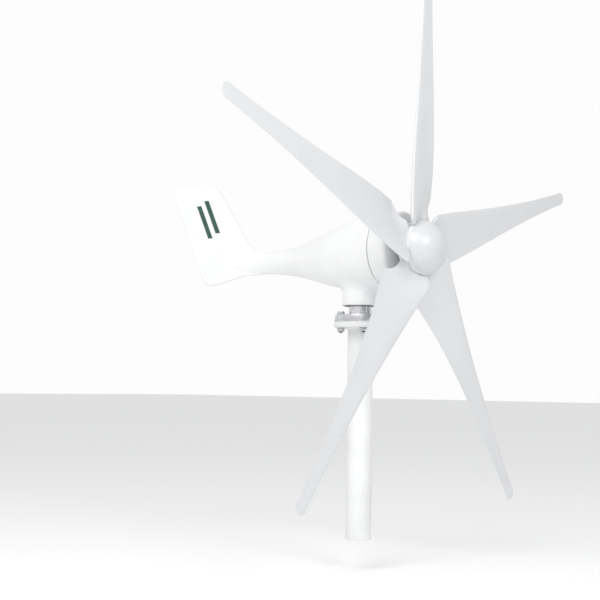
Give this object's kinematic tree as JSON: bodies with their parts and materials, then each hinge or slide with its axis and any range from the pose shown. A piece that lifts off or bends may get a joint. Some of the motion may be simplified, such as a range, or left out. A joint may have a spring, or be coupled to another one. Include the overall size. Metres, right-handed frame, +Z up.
{
  "type": "small wind turbine",
  "caption": "Horizontal-axis wind turbine with a domed nose, twisted blades, a finned nacelle that yaws on a flanged spindle, and a short tubular mast stub.",
  "frame": {"origin": "centre of the open lower end of the mast tube", "axes": "+Z up along the mast and yaw axis, -Y upwind towards the nose, +X to the right when seen from the front"},
  "size_m": [1.1423, 0.7226, 1.1617],
  "materials": {
    "mast_paint": "satin",
    "casting_paint": "satin",
    "turned_steel": "turned",
    "zinc_steel": "zinc plated",
    "bearing_steel": "ground",
    "black_plastic": "moulded",
    "brass": "turned",
    "carbon": "pressed",
    "laminations": "stamped",
    "copper": "enamelled",
    "nickel_magnet": "plated",
    "bare_aluminium": "machined",
    "black_rubber": "moulded",
    "lead_insulation": "extruded",
    "decal_green": "vinyl film",
    "blade_nylon": "satin moulded",
    "nose_plastic": "gloss moulded"
  },
  "bodies": {
    "mast": {"mast_tube": "mast_paint", "mast_flange": "mast_paint", "mast_weld": "mast_paint", "yaw_spindle": "turned_steel", "flange_bolts": "zinc_steel", "flange_washers": "zinc_steel", "flange_nuts": "zinc_steel", "yaw_lock_nut": "zinc_steel", "slip_ring_core": "black_plastic", "slip_rings": "brass", "yaw_lower_inner_race": "bearing_steel", "yaw_upper_inner_race": "bearing_steel", "yaw_lower_balls": "bearing_steel", "yaw_upper_balls": "bearing_steel"},
    "nacelle": {"nacelle_shell": "casting_paint", "front_housing": "casting_paint", "through_bolts": "zinc_steel", "stator_core": "laminations", "stator_coils": "copper", "end_plate": "bare_aluminium", "front_outer_race": "bearing_steel", "rear_outer_race": "bearing_steel", "shaft_seal": "black_rubber", "yaw_lower_outer_race": "bearing_steel", "yaw_upper_outer_race": "bearing_steel", "neck_seal": "black_rubber", "brush_holder": "black_plastic", "brushes": "carbon", "brush_springs": "zinc_steel", "holder_screw": "zinc_steel", "phase_leads": "lead_insulation", "fin_decals": "decal_green"},
    "rotor": {"main_shaft": "turned_steel", "rotor_core": "laminations", "magnets": "nickel_magnet", "front_inner_race": "bearing_steel", "rear_inner_race": "bearing_steel", "front_balls": "bearing_steel", "rear_balls": "bearing_steel", "shaft_key": "zinc_steel", "hub_plate": "casting_paint", "clamp_plate": "casting_paint", "blade_1": "blade_nylon", "blade_2": "blade_nylon", "blade_3": "blade_nylon", "blade_4": "blade_nylon", "blade_5": "blade_nylon", "blade_bolts": "zinc_steel", "blade_nuts": "zinc_steel", "hub_nut": "zinc_steel", "hub_washer": "zinc_steel", "nose_cone": "nose_plastic", "nose_screws": "zinc_steel"}
  },
  "joints": [
    {"name": "yaw", "type": "hinge", "parent": "mast", "child": "nacelle", "pos_m": [0, 0, 0.5], "axis": [0, 0, 1], "continuous": true},
    {"name": "rotor_spin", "type": "hinge", "parent": "nacelle", "child": "rotor", "pos_m": [0, -0.142, 0.562], "axis": [0, -1, 0], "continuous": true}
  ]
}
